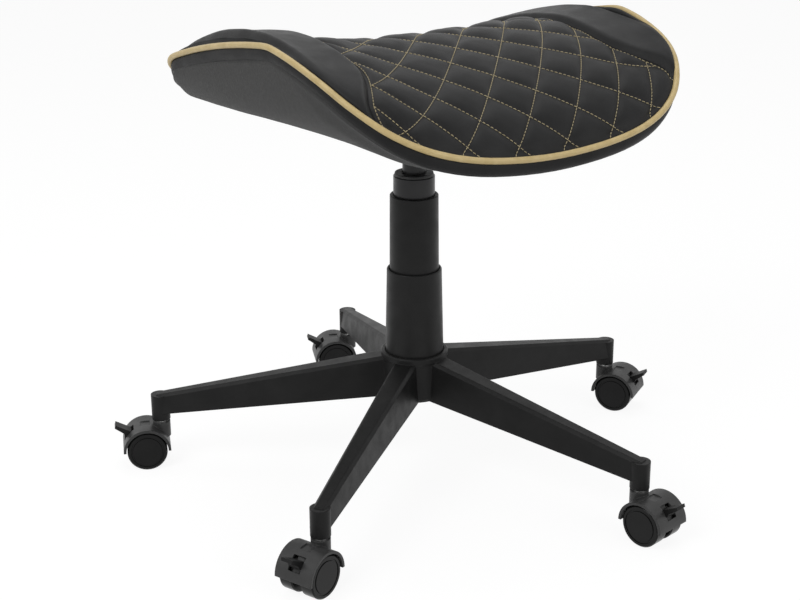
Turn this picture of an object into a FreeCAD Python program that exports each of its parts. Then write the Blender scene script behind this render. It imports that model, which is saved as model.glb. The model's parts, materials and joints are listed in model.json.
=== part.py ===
import FreeCAD, Part
import math
import os

import Sketcher
from FreeCAD import Placement, Rotation, Vector

DOC = FreeCAD.newDocument("saddle_stool")
SHEET = DOC.addObject("Spreadsheet::Sheet", "Sizes")

# Every driving size in millimetres or degrees, with what it measures.
SIZES = [
    ("base_turn", 1.7, "angle of the first base arm from the seat's right"),
    ("stem_circle_r", 320, "base centre to caster stem"),
    ("hub_r", 40, "hub outside radius"),
    ("hub_ring_r", 41.5, "raised ring round the hub top"),
    ("hub_low", 98, "underside of the hub"),
    ("hub_high", 156, "top of the hub ring"),
    ("hub_seat", 150, "ledge in the hub that carries the dust cover"),
    ("hub_seat_r", 36.3, "radius of that ledge"),
    ("arm_root_r", 30, "where an arm starts inside the hub"),
    ("arm_end_r", 324, "where an arm ends past the stem"),
    ("arm_root_w", 34, "arm width at the hub"),
    ("arm_end_w", 22, "arm width at the tip"),
    ("arm_root_low", 99, "arm underside at the hub"),
    ("arm_root_high", 151, "arm top at the hub"),
    ("arm_end_low", 69, "arm underside at the tip"),
    ("arm_end_high", 94, "arm top at the tip"),
    ("arm_draft", 2.5, "how far each arm side leans in towards the top"),
    ("arm_edge", 3.5, "bevel along the arm's top edges"),
    ("arm_wall", 4.5, "arm side wall beside the hollow"),
    ("arm_skin", 6, "arm top wall over the hollow"),
    ("hollow_root_r", 48, "where the arm hollow starts"),
    ("hollow_end_r", 300, "where the arm hollow ends"),
    ("boss_r", 11.5, "caster socket boss radius"),
    ("boss_low", 60, "underside of the socket boss"),
    ("boss_high", 93, "top of the socket boss"),
    ("stem_r", 5.5, "caster stem radius"),
    ("stem_play", 0.05, "radial running play of the stem"),
    ("stem_high", 84, "top of the stem"),
    ("stem_low", 47.5, "bottom of the stem inside the hood"),
    ("socket_high", 86, "blind end of the socket bore"),
    ("ring_r", 8, "bright ring on the stem"),
    ("ring_low", 57, "underside of that ring"),
    ("ring_gap", 0.3, "gap between the ring and the socket boss"),
    ("tube_r", 25, "gas lift outer tube radius"),
    ("tube_wall", 2, "gas lift outer tube wall"),
    ("tube_low", 96, "bottom of the outer tube"),
    ("tube_high", 378, "top of the outer tube"),
    ("tube_floor", 3, "floor of the outer tube"),
    ("bush_low", 318, "bottom of the guide bush"),
    ("bush_rim", 3, "rim of the guide bush above the tube"),
    ("piston_r", 14, "moving cylinder radius"),
    ("piston_play", 0.05, "radial running play of the moving cylinder"),
    ("piston_wall", 2, "wall of the moving cylinder"),
    ("piston_low", 150, "bottom of the moving cylinder"),
    ("piston_high", 430, "top of the moving cylinder"),
    ("piston_cap", 6, "thickness of the cylinder ends"),
    ("rod_r", 5, "piston rod radius"),
    ("rod_play", 0.05, "radial running play of the rod in the cylinder"),
    ("rod_low", 88, "bottom of the rod under the tube"),
    ("rod_high", 290, "top of the rod inside the cylinder"),
    ("rod_head_r", 11.5, "piston head on the rod"),
    ("rod_head_t", 10, "thickness of the piston head"),
    ("bearing_r", 15, "thrust bearing outside radius"),
    ("bearing_t", 8, "thrust bearing stack height"),
    ("bearing_gap", 0.1, "gap between bearing stack and tube floor"),
    ("clip_r", 12, "retaining clip radius"),
    ("clip_t", 2, "retaining clip thickness"),
    ("valve_r", 4, "valve button radius"),
    ("valve_play", 0.05, "radial running play of the valve button"),
    ("valve_rise", 5, "valve button above the cylinder"),
    ("valve_in", 5, "valve button inside the cylinder end"),
    ("lower_foot_r", 36, "lower dust cover radius at its foot"),
    ("lower_top_r", 33.5, "lower dust cover radius at its top"),
    ("lower_high", 261, "top of the lower dust cover"),
    ("cover_wall", 1.8, "dust cover wall"),
    ("cover_gap", 0.4, "gap between the nested dust covers"),
    ("upper_foot_r", 32.4, "upper dust cover radius at its foot"),
    ("upper_high_r", 29.3, "upper dust cover radius at its top"),
    ("upper_low", 150.3, "foot of the upper dust cover"),
    ("upper_high", 354, "top of the upper dust cover"),
    ("upper_lip_r", 25.6, "inside of the upper cover's top lip"),
    ("cone_r", 20, "socket under the seat plate"),
    ("cone_low", 398, "bottom of that socket"),
    ("plate_low", 448.4, "underside of the seat plate"),
    ("plate_t", 4, "seat plate thickness"),
    ("plate_x", 150, "seat plate length across the wings"),
    ("plate_y", 140, "seat plate length front to back"),
    ("plate_shift", -20, "seat plate centre ahead of the column"),
    ("plate_lip", 10, "folded lip height on the seat plate"),
    ("bolt_pitch_x", 116, "bolt spacing across the wings"),
    ("bolt_pitch_y", 104, "bolt spacing front to back"),
    ("bolt_r", 3, "bolt shank radius"),
    ("bolt_head_r", 6, "bolt head radius"),
    ("bolt_head_t", 4, "bolt head thickness"),
    ("bolt_grip", 12, "bolt length into the board"),
    ("lever_r", 4, "height lever rod radius"),
    ("lever_z", 439.5, "height lever centre height"),
    ("lever_in", -26, "inner end of the height lever"),
    ("lever_bend_x", 62, "where the height lever bends down"),
    ("lever_slope", 12, "how far the lever's outer part points down, in degrees"),
    ("lever_reach", 118, "length of the lever's outer part"),
    ("lever_pivot_x", 48, "height lever pivot from the column"),
    ("grip_r", 8, "lever grip radius"),
    ("grip_len", 60, "lever grip length"),
    ("lug_t", 3, "lever lug thickness"),
    ("lug_gap", 0.3, "gap beside the lever in its lugs"),
    ("pivot_r", 1.5, "lever pivot pin radius"),
    ("pivot_play", 0.05, "radial running play of hinge pins"),
    ("wheel_r", 25, "caster wheel radius"),
    ("wheel_in", 5.2, "wheel inner face from the middle of the caster"),
    ("wheel_out", 23.2, "wheel outer face from the middle of the caster"),
    ("wheel_edge", 1.5, "bevel at the tread edges"),
    ("wheel_lip_r", 20.6, "ring groove on the wheel face"),
    ("wheel_lip_w", 2, "width of that groove"),
    ("wheel_lip_d", 0.9, "depth of that groove"),
    ("axle_r", 3, "caster axle radius"),
    ("axle_play", 0.05, "radial running play of a wheel"),
    ("axle_half", 19.5, "half length of the axle"),
    ("wheel_bore", 20.2, "blind end of the wheel bore"),
    ("trail", 20, "axle behind the stem"),
    ("hood_r", 29.6, "hood outside radius"),
    ("hood_in_r", 26.2, "hood inside radius over the wheels"),
    ("hood_half", 24.6, "half width of the hood"),
    ("web_half", 4.6, "half thickness of the web between the wheels"),
    ("axle_boss_r", 9, "boss round the axle"),
    ("neck_r", 11, "neck under the stem"),
    ("neck_low", 37, "bottom of the neck"),
    ("recess_x", 12, "recess beside the stem, length"),
    ("recess_y", 14, "recess beside the stem, width"),
    ("recess_d", 1.4, "recess beside the stem, depth"),
    ("window_turn", 41, "angle of the brake window above level"),
    ("window_half", 8, "half width of the brake window"),
    ("window_span", 18, "length of the brake window along the hood"),
    ("brake_half", 7.6, "half width of the brake lever"),
    ("brake_pin_x", 20.7, "brake pivot behind the axle"),
    ("brake_pin_z", 18.7, "brake pivot above the axle"),
    ("brake_pin_r", 1.2, "brake pivot pin radius"),
    ("brake_pin_half", 11, "half length of the brake pivot pin"),
    ("seam_x", 165, "seam between quilt and wing from the middle"),
    ("crest_y", -40, "crest line of the seat ahead of the column"),
    ("shoulder_at", 0.817, "shoulder place between crest and edge"),
    ("shoulder_up", 0.46, "shoulder height share between edge and crest"),
    ("roll_at", 0.955, "edge roll place between crest and edge"),
    ("roll_up", 0.19, "edge roll height share between edge and crest"),
    ("band_h", 20, "leather band under the piping"),
    ("band_draw", 4, "how far the band draws in below"),
    ("band_w", 8, "band thickness round the board"),
    ("under_t", 6, "underside cover thickness"),
    ("under_in", 9, "underside cover inset from the band"),
    ("piping_r", 3.4, "piping radius"),
    ("piping_out", 2, "piping centre outside the seat edge"),
    ("piping_steps", 26, "straight lengths in half the piping loop"),
    ("diamond_x", 64, "quilt diamond across the wings"),
    ("diamond_y", 77, "quilt diamond front to back"),
    ("diamond_y0", -255, "first quilt row from the column"),
    ("channel_w", 3, "sewn channel width"),
    ("channel_d", 4.5, "sewn channel depth"),
]

# Seat stations from the middle to a wing end: distance from the middle, front
# edge and its height, back edge and its height, height of the joint line
# half-way, and height of the crest.
STATIONS = [
    (0, -269, 460, 196, 456, 483.5, 557),
    (82, -268, 466, 195, 462, 483.5, 560),
    (141, -259, 479, 192, 471, 473, 565.5),
    (183, -240, 499, 186, 485, 471, 569),
    (211.5, -209, 524.6, 177, 495, 482, 571),
    (225.6, -173, 545, 166, 506, 500, 571),
    (232.6, -125, 560, 152, 516, 519, 570),
    (235, -85, 566, 139, 524, 536, 568),
]
STATION_NAMES = ("x", "front_y", "front_z", "back_y", "back_z", "joint_z", "crest_z")

# Caster letter and the way it trails, in degrees from the seat's right.
CASTERS = [("a", 2, 157.2), ("b", 3, 201.2), ("c", 4, 281.2), ("d", 0, 301.2), ("e", 1, 156.2)]

for number, station in enumerate(STATIONS):
    for word, size in zip(STATION_NAMES, station):
        SIZES.append(("seat_%s_%s" % (word, "abcdefgh"[number]), size, "seat station %d" % number))
for letter, arm, heading in CASTERS:
    SIZES.append(("heading_%s" % letter, heading, "way caster %s trails" % letter))

for row, (alias, size, note) in enumerate(SIZES, 1):
    SHEET.set("A%d" % row, note)
    SHEET.set("B%d" % row, str(size))
    SHEET.setAlias("B%d" % row, alias)
DOC.recompute()


class Size:
    """A length that knows both its number and the sheet formula behind it."""

    def __init__(self, number, text):
        self.number = float(number)
        self.text = text

    def __float__(self):
        return self.number

    def __add__(self, other):
        other = as_size(other)
        return Size(self.number + other.number, "(%s + %s)" % (self.text, other.text))

    def __sub__(self, other):
        other = as_size(other)
        return Size(self.number - other.number, "(%s - %s)" % (self.text, other.text))

    def __mul__(self, other):
        other = as_size(other)
        return Size(self.number * other.number, "(%s * %s)" % (self.text, other.text))

    def __truediv__(self, other):
        other = as_size(other)
        return Size(self.number / other.number, "(%s / %s)" % (self.text, other.text))

    def __neg__(self):
        return Size(-self.number, "(0 - %s)" % self.text)

    __radd__ = __add__


def as_size(value):
    return value if isinstance(value, Size) else Size(value, repr(float(value)))


def s(alias):
    return Size(SHEET.get(alias), "Sizes.%s" % alias)


def v(alias):
    return float(SHEET.get(alias))


def bind(obj, prop, size):
    size = as_size(size)
    if "Sizes" in size.text:
        obj.setExpression(prop, size.text)


NODES = []


def node(obj, label, placement=None):
    obj.Label = label
    if placement is not None:
        obj.Placement = placement
    NODES.append(obj)
    return obj


def origin_plane(body, role):
    for feature in body.Origin.OriginFeatures:
        if feature.Role == role:
            return feature
    raise ValueError(role)


def sketch_on(body, name, role, offset=None):
    sk = body.newObject("Sketcher::SketchObject", name)
    sk.AttachmentSupport = (origin_plane(body, role), [""])
    sk.MapMode = "FlatFace"
    if offset is not None:
        sk.AttachmentOffset = Placement(Vector(0, 0, float(offset)), Rotation())
        bind(sk, ".AttachmentOffset.Base.z", offset)
    return sk


def pin_point(sk, geo, pos, x, y):
    for kind, axis, size in (("DistanceX", -2, as_size(x)), ("DistanceY", -1, as_size(y))):
        if size.number == 0:
            sk.addConstraint(Sketcher.Constraint("PointOnObject", geo, pos, axis))
            continue
        index = sk.addConstraint(Sketcher.Constraint(kind, geo, pos, size.number))
        bind(sk, "Constraints[%d]" % index, size)


def closed_lines(sk, corners):
    points = [Vector(float(x), float(y), 0) for x, y in corners]
    count = len(points)
    first = sk.GeometryCount
    for i in range(count):
        sk.addGeometry(Part.LineSegment(points[i], points[(i + 1) % count]), False)
    for i in range(count):
        sk.addConstraint(Sketcher.Constraint("Coincident", first + i, 2, first + (i + 1) % count, 1))
    for i, (x, y) in enumerate(corners):
        pin_point(sk, first + i, 1, x, y)


def round_hole(sk, x, y, radius):
    geo = sk.addGeometry(Part.Circle(Vector(float(x), float(y), 0), Vector(0, 0, 1), float(radius)), False)
    pin_point(sk, geo, 3, x, y)
    index = sk.addConstraint(Sketcher.Constraint("Radius", geo, float(radius)))
    bind(sk, "Constraints[%d]" % index, radius)


def turned(name, corners):
    """A body turned about its own upright axis from (radius, height) corners."""
    body = DOC.addObject("PartDesign::Body", name)
    sk = sketch_on(body, name + "_profile", "XZ_Plane")
    closed_lines(sk, corners)
    turn = body.newObject("PartDesign::Revolution", name + "_turn")
    turn.Profile = sk
    turn.ReferenceAxis = (sk, ["V_Axis"])
    turn.Angle = 360
    sk.Visibility = False
    return body


def padded(body, name, sk, length, centred=False):
    pad = body.newObject("PartDesign::Pad", name)
    pad.Profile = sk
    pad.Length = float(length)
    bind(pad, "Length", length)
    if centred:
        pad.Midplane = True
    return pad


def pocketed(body, name, sk, length, centred=False, reverse=False):
    cut = body.newObject("PartDesign::Pocket", name)
    cut.Profile = sk
    cut.Length = float(length)
    bind(cut, "Length", length)
    if centred:
        cut.Midplane = True
    cut.Reversed = reverse
    return cut


def rod(name, radius, length, place):
    obj = DOC.addObject("Part::Cylinder", name)
    bind_sizes(obj, (("Radius", radius), ("Height", length)))
    obj.Placement = place
    return obj


def block(name, x, y, z, place):
    obj = DOC.addObject("Part::Box", name)
    bind_sizes(obj, (("Length", x), ("Width", y), ("Height", z)))
    obj.Placement = place
    return obj


def bind_sizes(obj, pairs):
    for prop, size in pairs:
        setattr(obj, prop, float(size))
        bind(obj, prop, size)


def joined(name, pieces):
    obj = DOC.addObject("Part::MultiFuse", name)
    obj.Shapes = pieces
    obj.Refine = True
    return obj


def cut_away(name, base, tools):
    tool = tools[0] if len(tools) == 1 else joined(name + "_tools", tools)
    obj = DOC.addObject("Part::Cut", name)
    obj.Base = base
    obj.Tool = tool
    return obj


def at(x, y, z, axis=None, angle=0):
    turn = Rotation() if axis is None else Rotation(Vector(*axis), angle)
    return Placement(Vector(float(x), float(y), float(z)), turn)


ALONG_Y = ((1, 0, 0), -90)


# The base: a hub with five hollow arms and a socket boss at each tip.
def arm_profile(width, low, high):
    half = width / 2
    lean = half - s("arm_draft")
    edge = s("arm_edge")
    return [
        (-half, low), (half, low), (lean, high - edge), (lean - edge, high),
        (-(lean - edge), high), (-lean, high - edge),
    ]


def hollow_profile(width, low, high):
    half = width / 2 - s("arm_wall")
    top = half - s("arm_draft")
    return [(-half, low - 4), (half, low - 4), (top, high - s("arm_skin")), (-top, high - s("arm_skin"))]


def base_star():
    body = DOC.addObject("PartDesign::Body", "base_star")
    bore = s("tube_r")
    sk = sketch_on(body, "hub_profile", "XZ_Plane")
    closed_lines(sk, [
        (bore, s("hub_low")), (s("hub_r") - 2, s("hub_low")), (s("hub_r"), s("hub_low") + 4),
        (s("hub_r"), s("hub_seat") - 4), (s("hub_ring_r"), s("hub_seat") - 1),
        (s("hub_ring_r"), s("hub_high") - 1.5), (s("hub_ring_r") - 1.5, s("hub_high")),
        (s("hub_seat_r") + 0.6, s("hub_high")), (s("hub_seat_r"), s("hub_high") - 0.6),
        (s("hub_seat_r"), s("hub_seat")), (bore, s("hub_seat")),
    ])
    hub = body.newObject("PartDesign::Revolution", "hub_turn")
    hub.Profile = sk
    hub.ReferenceAxis = (sk, ["V_Axis"])
    hub.Angle = 360
    root = sketch_on(body, "arm_root", "YZ_Plane", s("arm_root_r"))
    closed_lines(root, arm_profile(s("arm_root_w"), s("arm_root_low"), s("arm_root_high")))
    tip = sketch_on(body, "arm_tip", "YZ_Plane", s("arm_end_r"))
    closed_lines(tip, arm_profile(s("arm_end_w"), s("arm_end_low"), s("arm_end_high")))
    arm = body.newObject("PartDesign::AdditiveLoft", "arm")
    arm.Profile = root
    arm.Sections = [tip]
    arm.Ruled = True
    boss_sk = sketch_on(body, "boss_round", "XY_Plane", s("boss_low"))
    round_hole(boss_sk, s("stem_circle_r"), 0, s("boss_r"))
    boss = padded(body, "boss", boss_sk, s("boss_high") - s("boss_low"))
    hollow_in = sketch_on(body, "hollow_root", "YZ_Plane", s("hollow_root_r"))
    closed_lines(hollow_in, hollow_profile(s("arm_root_w") - 1, s("arm_root_low") - 4, s("arm_root_high") - 4))
    hollow_out = sketch_on(body, "hollow_tip", "YZ_Plane", s("hollow_end_r"))
    closed_lines(hollow_out, hollow_profile(s("arm_end_w"), s("arm_end_low"), s("arm_end_high") + 3))
    hollow = body.newObject("PartDesign::SubtractiveLoft", "hollow")
    hollow.Profile = hollow_in
    hollow.Sections = [hollow_out]
    hollow.Ruled = True
    bore_sk = sketch_on(body, "socket_round", "XY_Plane", s("boss_low"))
    round_hole(bore_sk, s("stem_circle_r"), 0, s("stem_r") + s("stem_play"))
    socket = pocketed(body, "socket", bore_sk, s("socket_high") - s("boss_low"), reverse=True)
    ring = body.newObject("PartDesign::PolarPattern", "five_arms")
    ring.Originals = [arm, boss, hollow, socket]
    ring.Axis = (origin_plane(body, "Z_Axis"), [""])
    ring.Angle = 360
    ring.Occurrences = 5
    body.Tip = ring
    bore_all = sketch_on(body, "hub_bore_round", "XY_Plane", s("hub_low") - 5)
    round_hole(bore_all, 0, 0, bore)
    pocketed(body, "hub_bore", bore_all, 70, reverse=True)
    seat_all = sketch_on(body, "hub_seat_round", "XY_Plane", s("hub_seat"))
    round_hole(seat_all, 0, 0, s("hub_seat_r"))
    pocketed(body, "hub_seat_cut", seat_all, 20, reverse=True)
    node(body, "base_star", at(0, 0, 0, (0, 0, 1), v("base_turn")))


# The gas lift and its two dust covers, all turned about the column.
def gas_lift():
    inside = s("tube_r") - s("tube_wall")
    floor = s("tube_low") + s("tube_floor")
    node(turned("lift_tube", [
        (s("rod_r") + 2, s("tube_low")), (s("tube_r"), s("tube_low")), (s("tube_r"), s("tube_high") - 1),
        (s("tube_r") - 1, s("tube_high")), (inside, s("tube_high")), (inside, floor), (s("rod_r") + 2, floor),
    ]), "lift_tube")
    run = s("piston_r") + s("piston_play")
    node(turned("lift_bush", [
        (run, s("bush_low")), (inside, s("bush_low")), (inside, s("tube_high")), (s("tube_r") - 1, s("tube_high")),
        (s("tube_r") - 2, s("tube_high") + s("bush_rim")), (run + 1, s("tube_high") + s("bush_rim")),
        (run, s("tube_high") + s("bush_rim") - 1),
    ]), "lift_bush")
    hole = s("rod_r") + s("rod_play")
    well = s("piston_r") - s("piston_wall")
    top = s("piston_high")
    node(turned("lift_cylinder", [
        (hole, s("piston_low")), (s("piston_r"), s("piston_low")), (s("piston_r"), top),
        (s("valve_r") + s("valve_play"), top), (s("valve_r") + s("valve_play"), top - s("piston_cap")),
        (well, top - s("piston_cap")), (well, s("piston_low") + s("piston_cap")),
        (hole, s("piston_low") + s("piston_cap")),
    ]), "lift_cylinder")
    head = s("rod_high") - s("rod_head_t")
    node(turned("lift_rod", [
        (0, s("rod_low")), (s("rod_r"), s("rod_low")), (s("rod_r"), head), (s("rod_head_r"), head),
        (s("rod_head_r"), s("rod_high")), (0, s("rod_high")),
    ]), "lift_rod")
    rest = floor + s("bearing_gap")
    node(turned("thrust_bearing", [
        (s("rod_r"), rest), (s("bearing_r"), rest), (s("bearing_r"), rest + 2), (s("bearing_r") - 2, rest + 2.5),
        (s("bearing_r") - 2, rest + s("bearing_t") - 2.5), (s("bearing_r"), rest + s("bearing_t") - 2),
        (s("bearing_r"), rest + s("bearing_t")), (s("rod_r"), rest + s("bearing_t")),
    ]), "thrust_bearing")
    node(turned("lift_clip", [
        (s("rod_r"), s("tube_low") - s("clip_t") - 0.3), (s("clip_r"), s("tube_low") - s("clip_t") - 0.3),
        (s("clip_r"), s("tube_low") - 0.3), (s("rod_r"), s("tube_low") - 0.3),
    ]), "lift_clip")
    node(turned("valve_button", [
        (0, top - s("valve_in")), (s("valve_r"), top - s("valve_in")), (s("valve_r"), top + s("valve_rise") - 1),
        (s("valve_r") - 1, top + s("valve_rise")), (0, top + s("valve_rise")),
    ]), "valve_button")
    wall = s("cover_wall")
    neck = s("upper_foot_r") + s("cover_gap")
    node(turned("cover_lower", [
        (s("lower_foot_r") - wall, s("hub_seat")), (s("lower_foot_r"), s("hub_seat")),
        (s("lower_top_r"), s("lower_high") - 1), (s("lower_top_r") - 0.6, s("lower_high")),
        (neck - 1.6, s("lower_high")), (neck - 1.6, s("lower_high") - 2.5),
        (s("lower_top_r") - wall, s("lower_high") - 4),
    ]), "cover_lower")
    node(turned("cover_upper", [
        (s("upper_foot_r") - wall - 1.5, s("upper_low")), (s("upper_foot_r") - 1.5, s("upper_low")),
        (s("upper_high_r"), s("upper_high") - 1), (s("upper_high_r") - 0.8, s("upper_high")),
        (s("upper_lip_r"), s("upper_high")), (s("upper_lip_r"), s("upper_high") - 2.5),
        (s("upper_high_r") - wall, s("upper_high") - 4),
    ]), "cover_upper")


# The steel plate under the seat with its socket, lever and bolts.
def seat_plate():
    low = s("plate_low")
    x, y, t = s("plate_x"), s("plate_y"), s("plate_t")
    shift = v("plate_shift")
    sheet = block("plate_sheet", x, y, t, at(-v("plate_x") / 2, shift - v("plate_y") / 2, v("plate_low")))
    lips = []
    for side in (-1, 1):
        edge = shift + side * (v("plate_y") / 2 - v("lug_t") / 2) - v("lug_t") / 2
        lips.append(block("plate_lip_%d" % (side + 2), x, s("lug_t"), s("plate_lip"),
                          at(-v("plate_x") / 2, edge, v("plate_low") - v("plate_lip"))))
    lugs = []
    for side in (-1, 1):
        near = side * (v("lever_r") + v("lug_gap") + v("lug_t") / 2) - v("lug_t") / 2
        lugs.append(block("plate_lug_%d" % (side + 2), 14, s("lug_t"), low - s("lever_z") + 6,
                          at(v("lever_pivot_x") - 7, near, v("lever_z") - 6)))
    socket = rod("plate_socket", s("cone_r"), low - s("cone_low"), at(0, 0, v("cone_low")))
    body = joined("plate_body", [sheet, socket] + lips + lugs)
    tools = [
        rod("plate_bore", s("piston_r"), s("piston_high") - s("cone_low") + 1, at(0, 0, v("cone_low") - 1)),
        rod("plate_valve_room", s("piston_r") - 1, low - s("piston_high"), at(0, 0, v("piston_high") - 0.5)),
        block("plate_lever_way", 60, (s("lever_r") + s("lug_gap")) * 2, low - s("piston_high") - 0.1,
              at(-30, -v("lever_r") - v("lug_gap"), v("piston_high"))),
        rod("plate_pivot", s("pivot_r"), 30, at(v("lever_pivot_x"), -15, v("lever_z"), *ALONG_Y)),
    ]
    for i in (-1, 1):
        for j in (-1, 1):
            place = at(i * v("bolt_pitch_x") / 2, shift + j * v("bolt_pitch_y") / 2, v("plate_low") - 1)
            tools.append(rod("plate_hole_%d%d" % (i + 2, j + 2), s("bolt_r"), t + 2, place))
    node(cut_away("seat_plate", body, tools), "seat_plate")


def bolts():
    pieces = []
    for i in (-1, 1):
        for j in (-1, 1):
            spot = (i * v("bolt_pitch_x") / 2, v("plate_shift") + j * v("bolt_pitch_y") / 2)
            tag = "%d%d" % (i + 2, j + 2)
            head = rod("bolt_head_" + tag, s("bolt_head_r"), s("bolt_head_t"),
                       at(spot[0], spot[1], v("plate_low") - v("bolt_head_t")))
            shank = rod("bolt_shank_" + tag, s("bolt_r"), s("plate_t") + s("bolt_grip"),
                        at(spot[0], spot[1], v("plate_low")))
            pieces.append(joined("bolt_" + tag, [head, shank]))
    group = DOC.addObject("Part::Compound", "seat_bolts")
    group.Links = pieces
    node(group, "seat_bolts")
    return group


def lever():
    slope = math.radians(v("lever_slope"))
    bend = Vector(v("lever_bend_x"), 0, v("lever_z"))
    way = Vector(math.cos(slope), 0, -math.sin(slope))

    def outer(name, radius, length, start):
        foot = bend + way * start
        return rod(name, radius, length, at(foot.x, 0, foot.z, (0, 1, 0), 90 + v("lever_slope")))

    inner_bar = rod("lever_inner", s("lever_r"), s("lever_bend_x") - s("lever_in"),
                    at(v("lever_in"), 0, v("lever_z"), (0, 1, 0), 90))
    elbow = DOC.addObject("Part::Sphere", "lever_elbow")
    bind_sizes(elbow, (("Radius", s("lever_r")),))
    elbow.Placement = at(bend.x, 0, bend.z)
    bar = joined("lever_bar", [inner_bar, elbow, outer("lever_outer", s("lever_r"), s("lever_reach"), 0)])
    hole = rod("lever_hole", s("pivot_r") + s("pivot_play"), 20, at(v("lever_pivot_x"), -10, v("lever_z"), *ALONG_Y))
    node(cut_away("height_lever", bar, [hole]), "height_lever")
    grip_cap = 8
    grip_start = v("lever_reach") - v("grip_len") + grip_cap
    grip = outer("grip_bar", s("grip_r"), s("grip_len"), grip_start)
    bore = outer("grip_bore", s("lever_r"), s("grip_len") - grip_cap, grip_start)
    node(cut_away("lever_grip", grip, [bore]), "lever_grip")
    pin = rod("lever_pin", s("pivot_r"), (s("lever_r") + s("lug_gap") + s("lug_t")) * 2,
              at(v("lever_pivot_x"), -v("lever_r") - v("lug_gap") - v("lug_t"), v("lever_z"), *ALONG_Y))
    node(pin, "lever_pin")


# One caster, drawn with its stem on the origin and its axle along Y.
def caster_hood(tag):
    axle = at(v("trail"), -v("hood_half"), v("wheel_r"), *ALONG_Y)
    drum = rod("drum_" + tag, s("hood_r"), s("hood_half") * 2, axle)
    below = block("below_" + tag, 80, 60, s("wheel_r") + 8, at(v("trail") - 40, -30, -8))
    dome = cut_away("dome_" + tag, drum, [below])
    boss = rod("axle_boss_" + tag, s("axle_boss_r"), s("web_half") * 2,
               at(v("trail"), -v("web_half"), v("wheel_r"), *ALONG_Y))
    neck = rod("neck_" + tag, s("neck_r"), s("ring_low") - s("neck_low"), at(0, 0, v("neck_low")))
    solid = joined("hood_solid_" + tag, [dome, boss, neck])
    room = s("hood_half") + 1 - s("web_half")
    top = v("wheel_r") + v("hood_r")
    window = block("window_" + tag, 12, s("window_half") * 2, s("window_span"), Placement(
        Vector(v("trail"), -v("window_half"), v("wheel_r")), Rotation(Vector(0, 1, 0), -v("window_turn"))
    ).multiply(at(24.5, 0, -v("window_span") / 2)))
    tools = [
        rod("room_left_" + tag, s("hood_in_r"), room, at(v("trail"), v("web_half"), v("wheel_r"), *ALONG_Y)),
        rod("room_right_" + tag, s("hood_in_r"), room,
            at(v("trail"), -v("hood_half") - 1, v("wheel_r"), *ALONG_Y)),
        rod("axle_way_" + tag, s("axle_r"), 20, at(v("trail"), -10, v("wheel_r"), *ALONG_Y)),
        rod("stem_way_" + tag, s("stem_r"), 20, at(0, 0, v("stem_low"))),
        block("recess_" + tag, s("recess_x"), s("recess_y"), 6,
              at(v("trail") - 5, -v("recess_y") / 2, top - v("recess_d"))),
        window,
        rod("brake_way_" + tag, s("brake_pin_r"), s("brake_pin_half") * 2, at(
            v("trail") + v("brake_pin_x"), -v("brake_pin_half"), v("wheel_r") + v("brake_pin_z"), *ALONG_Y)),
    ]
    return cut_away("hood_" + tag, solid, tools)


def caster_brake(tag):
    body = DOC.addObject("PartDesign::Body", "brake_" + tag)
    sk = sketch_on(body, "brake_profile_" + tag, "XZ_Plane")
    x, z = s("trail"), s("wheel_r")
    shape = [(22.2, 15.0), (25.4, 15.4), (28.0, 20.6), (38.6, 28.4), (37.4, 32.2), (25.6, 26.0), (18.2, 22.2),
             (16.9, 20.9)]
    closed_lines(sk, [(x + dx, z + dz) for dx, dz in shape])
    round_hole(sk, x + s("brake_pin_x"), z + s("brake_pin_z"), s("brake_pin_r") + s("pivot_play"))
    padded(body, "brake_pad_" + tag, sk, s("brake_half") * 2, centred=True)
    return body


def caster(letter, arm, heading):
    angle = math.radians(v("base_turn") + 72 * arm)
    spot = Vector(v("stem_circle_r") * math.cos(angle), v("stem_circle_r") * math.sin(angle), 0)
    place = Placement(spot, Rotation(Vector(0, 0, 1), heading))
    node(caster_hood(letter), "caster_hood_" + letter, place)
    ring_top = s("boss_low") - s("ring_gap")
    node(turned("stem_" + letter, [
        (0, s("stem_low")), (s("stem_r"), s("stem_low")), (s("stem_r"), s("ring_low")), (s("ring_r"), s("ring_low")),
        (s("ring_r"), ring_top), (s("stem_r"), ring_top), (s("stem_r"), s("stem_high") - 1.5),
        (s("stem_r") - 1.5, s("stem_high")), (0, s("stem_high")),
    ]), "caster_stem_" + letter, place)
    pins = DOC.addObject("Part::Compound", "pins_" + letter)
    pins.Links = [
        rod("axle_" + letter, s("axle_r"), s("axle_half") * 2, at(v("trail"), -v("axle_half"), v("wheel_r"), *ALONG_Y)),
        rod("brake_pin_" + letter, s("brake_pin_r"), s("brake_pin_half") * 2, at(
            v("trail") + v("brake_pin_x"), -v("brake_pin_half"), v("wheel_r") + v("brake_pin_z"), *ALONG_Y)),
    ]
    node(pins, "caster_pins_" + letter, place)
    bore, edge, out = s("axle_r") + s("axle_play"), s("wheel_edge"), s("wheel_out")
    lip, width, deep = s("wheel_lip_r"), s("wheel_lip_w"), s("wheel_lip_d")
    profile = [
        (bore, s("wheel_in")), (s("wheel_r") - edge, s("wheel_in")), (s("wheel_r"), s("wheel_in") + edge),
        (s("wheel_r"), out - edge), (s("wheel_r") - edge, out), (lip, out), (lip - 0.4, out - deep),
        (lip - width, out - deep), (lip - width - 0.4, out), (0, out), (0, s("wheel_bore")), (bore, s("wheel_bore")),
    ]
    for side, turn in (("left", -90), ("right", 90)):
        wheel = turned("wheel_%s_%s" % (side, letter), profile)
        hub = Placement(Vector(v("trail"), 0, v("wheel_r")), Rotation(Vector(1, 0, 0), turn))
        node(wheel, "wheel_%s_%s" % (side, letter), place.multiply(hub))
    node(caster_brake(letter), "brake_lever_" + letter, place)


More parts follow.
